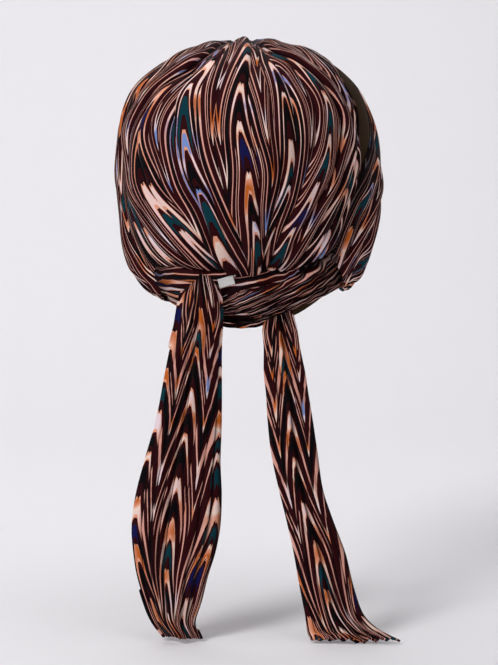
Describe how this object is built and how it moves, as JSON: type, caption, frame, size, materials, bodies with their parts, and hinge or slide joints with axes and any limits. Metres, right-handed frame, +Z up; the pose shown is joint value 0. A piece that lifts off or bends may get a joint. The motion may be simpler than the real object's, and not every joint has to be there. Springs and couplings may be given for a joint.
{
  "type": "turban",
  "caption": "Soft ready-gathered turban with a printed crown over a plain cap, a padded band round the face and long ties half-knotted at the nape.",
  "frame": {"origin": "inside of the cap's top, where it sits on the head", "axes": "+Z up, -Y towards the face, +X towards the wearer's left"},
  "size_m": [0.2313, 0.2701, 0.481],
  "materials": {
    "printed_cloth": "matt crepe with a woven-look flame stripe print in oxblood, near black, peach, off-white, teal, navy and light blue",
    "cap_cloth": "plain dark olive-brown jersey with a short soft pile",
    "label_cloth": "blank grey-white woven tape"
  },
  "bodies": {
    "root": {"base_cap": "cap_cloth", "crown_panel": "printed_cloth", "front_band": "printed_cloth", "over_tie": "printed_cloth", "under_tie": "printed_cloth", "label": "label_cloth"}
  },
  "joints": []
}
